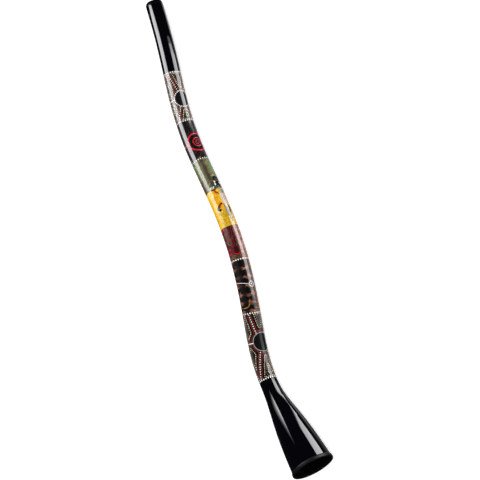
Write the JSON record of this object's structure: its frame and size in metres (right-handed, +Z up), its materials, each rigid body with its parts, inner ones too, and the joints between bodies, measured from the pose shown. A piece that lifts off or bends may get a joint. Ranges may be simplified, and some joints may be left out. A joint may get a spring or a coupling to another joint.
{
  "type": "didgeridoo",
  "caption": "Long S-curved tube with a rounded mouthpiece, bands of painted patterns along its middle, and a smooth flared bell with a rubber rim.",
  "frame": {"origin": "on the floor, at the bottom centre of the box round the whole instrument as it lies on its side", "axes": "+X from the mouth end to the bell along the line between the two ends, +Y sideways, +Z up; the plane of the S leans 33 degrees, as the tube comes to rest on the floor"},
  "size_m": [1.4472, 0.135, 0.1231],
  "materials": {
    "black_gelcoat": "polished black gelcoat over glass-fibre laminate",
    "glass_tape": "woven glass tape soaked with black resin, rough",
    "mouthpiece_black": "polished black, rounded lip",
    "black_rubber": "satin black rubber",
    "print_upper_dotwork": "printed dot pattern under clear gloss lacquer",
    "print_dark_brown": "dark printed field under clear gloss lacquer",
    "print_green": "green printed field under clear gloss lacquer",
    "print_yellow": "yellow printed field under clear gloss lacquer",
    "print_maroon": "maroon printed field under clear gloss lacquer",
    "print_brown": "brown printed field under clear gloss lacquer",
    "print_lower_dotwork": "printed dot pattern under clear gloss lacquer"
  },
  "bodies": {
    "root": {"shell_upper_half": "black_gelcoat", "shell_lower_half": "black_gelcoat", "seam_tape_left": "glass_tape", "seam_tape_right": "glass_tape", "mouthpiece": "mouthpiece_black", "bell_rim_guard": "black_rubber", "wrap_upper_dotwork": "print_upper_dotwork", "wrap_dark_brown": "print_dark_brown", "wrap_green_field": "print_green", "wrap_yellow_field": "print_yellow", "wrap_maroon_field": "print_maroon", "wrap_brown_field": "print_brown", "wrap_lower_dotwork": "print_lower_dotwork"}
  },
  "joints": []
}
